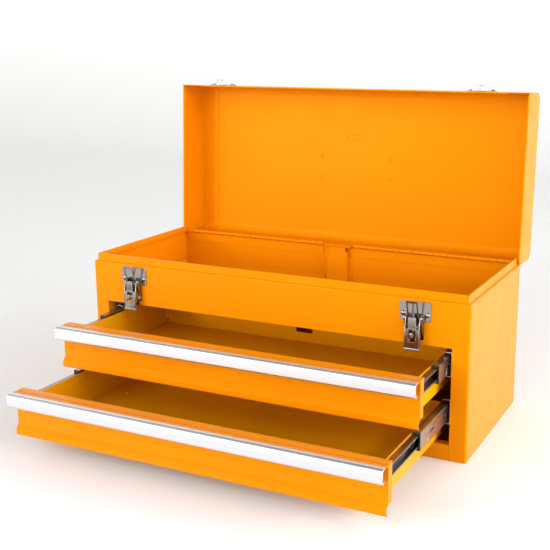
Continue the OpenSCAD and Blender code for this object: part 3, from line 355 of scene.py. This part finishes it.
acetal = moulded_plastic("acetal_black", "#161617", 0.0015, 0.36)
# The inner members take a darker copy of the slide zinc, with the same shine: painted shade for
# the recessed channel they run in.
zinc_painted_shade_members = zinc_plate("zinc_plate_drawer_members_painted_shade", "#A79C97", "#7A706B", "y", 0.26)
for level in ("upper", "lower"):
    for part in ("mid_slides", "outer_cages", "inner_cages"):
        eased(level + "_" + part, zinc, edge=MEMBER_EDGE, turn=FACET_TURN)
    eased(level + "_inner_slides", zinc_painted_shade_members, edge=MEMBER_EDGE, turn=FACET_TURN)
    front_y, mid_z = MEMBER_PLACE[level]
    arc = [(front_y + STOP_BACK + STOP_ARC_R * math.cos(angle),
            mid_z - STOP_DOWN + STOP_ARC_R * math.sin(angle)) for angle in STOP_ANGLES]
    stops = [((s * WEB_X, *start), (s * WEB_X, *end), STOP_BEAD_R)
             for s in (-1, 1) for start, end in zip(arc, arc[1:])]
    beads(level + "_cage_stops", zinc, level + "_mid_members", stops)
    eased(level + "_slide_bumpers", acetal)
    eased(level + "_release_levers", acetal)


# Lock bar: a strip in the channel at the back, coated like it, with a hook for each drawer
eased("lock_bar", yellow)


# The studio: a seamless pale sweep in a white tent, a small key at the front left that draws
# the light shadows inside the lid, and two broad lights, in front and on the right. Metres.
SWEEP_HALF_WIDTH = 5
SWEEP_FRONT_Y = -4
COVE_Y, COVE_R = 2.2, 1.5
WALL_TOP = 5


def sweep():
    """A floor that curves up into a wall behind the box, in one plain surface."""
    side_x = -SWEEP_HALF_WIDTH
    bm = bmesh.new()
    line = [bm.verts.new((side_x, y, 0)) for y in (SWEEP_FRONT_Y, COVE_Y)]
    bm.edges.new(line)
    turned = bmesh.ops.spin(bm, geom=[line[1]], angle=math.radians(90), steps=16,
                            axis=(1, 0, 0), cent=(side_x, COVE_Y, COVE_R))
    top = turned["geom_last"][0]
    bmesh.ops.extrude_vert_indiv(bm, verts=[top])
    bm.verts.ensure_lookup_table()
    bm.verts[-1].co = Vector((side_x, COVE_Y + COVE_R, WALL_TOP))
    wide = bmesh.ops.extrude_edge_only(bm, edges=bm.edges[:])
    moved = [v for v in wide["geom"] if isinstance(v, bmesh.types.BMVert)]
    bmesh.ops.translate(bm, verts=moved, vec=(2 * SWEEP_HALF_WIDTH, 0, 0))
    for face in bm.faces:
        face.smooth = True
    mesh = bpy.data.meshes.new("studio_sweep")
    bm.to_mesh(mesh)
    bm.free()
    paper = surface("studio_paper", Roughness=0.8, Base_Color=linear("#EDEDEC"))[0]
    mesh.materials.append(paper)
    backdrop = bpy.data.objects.new("studio_sweep", mesh)
    bpy.context.scene.collection.objects.link(backdrop)
    return backdrop


sweep()

# The tent is brightest at table height and dimmer overhead
TENT_LOW, TENT_HIGH = 2.5, 0.1
TENT_HIGH_FROM = 0.9

world = bpy.data.worlds.new("studio")
world.use_nodes = True
tent = world.node_tree
way_out = add(tent, "TexCoord", {}).outputs["Generated"]
height = add(tent, "SeparateXYZ", {"Vector": way_out}).outputs["Z"]
glow = add(tent, "MapRange", {"Value": height, "From Min": 0.0, "From Max": TENT_HIGH_FROM,
                              "To Min": TENT_LOW, "To Max": TENT_HIGH}).outputs["Result"]
tent.nodes["Background"].inputs["Color"].default_value = linear("#FFFFFF")
tent.links.new(glow, tent.nodes["Background"].inputs["Strength"])
bpy.context.scene.world = world
bpy.context.scene.view_settings.view_transform = "Standard"


def softbox(name, place, aim, size, power):
    """A rectangular soft light that shines from its place towards a point."""
    lamp = bpy.data.lights.new(name, "AREA")
    lamp.shape = "RECTANGLE"
    lamp.size, lamp.size_y = size
    lamp.energy = power
    holder = bpy.data.objects.new(name, lamp)
    holder.location = place
    holder.rotation_euler = (Vector(aim) - Vector(place)).to_track_quat("-Z", "Y").to_euler()
    bpy.context.scene.collection.objects.link(holder)


softbox("key", place=(-1.09, -2.14, 0.55), aim=(0, 0, 0.25), size=(0.22, 0.22), power=13)
softbox("side", place=(2.1, -0.1, 0.8), aim=(0, 0, 0.15), size=(1.2, 1.4), power=50)
softbox("front", place=(-0.6, -2.4, 1.5), aim=(0, -0.1, 0.15), size=(2.4, 1.6), power=28)

# The photograph's camera, solved from the box's straight edges: its focal length and its
# middle in the photograph's pixels, its place in metres, and its turn and tilt in degrees
PHOTO_SIZE = 550
FOCAL_LENGTH = 961.2
MIDDLE_X, MIDDLE_Y = 317.6, 263.9
CAMERA_PLACE = (0.5501, -1.1091, 0.4763)
CAMERA_TURN, CAMERA_TILT = 25.62, 13.12
SENSOR_WIDTH = 36

lens = bpy.data.cameras.new("camera")
lens.sensor_fit = "HORIZONTAL"
lens.sensor_width = SENSOR_WIDTH
lens.lens = FOCAL_LENGTH * SENSOR_WIDTH / PHOTO_SIZE
lens.shift_x = (PHOTO_SIZE / 2 - MIDDLE_X) / PHOTO_SIZE
lens.shift_y = (MIDDLE_Y - PHOTO_SIZE / 2) / PHOTO_SIZE
camera = bpy.data.objects.new("camera", lens)
turn = Matrix.Rotation(math.radians(CAMERA_TURN), 4, "Z")
tilt = Matrix.Rotation(math.radians(90 - CAMERA_TILT), 4, "X")
camera.matrix_world = Matrix.Translation(CAMERA_PLACE) @ (turn @ tilt)
bpy.context.scene.collection.objects.link(camera)
bpy.context.scene.camera = camera
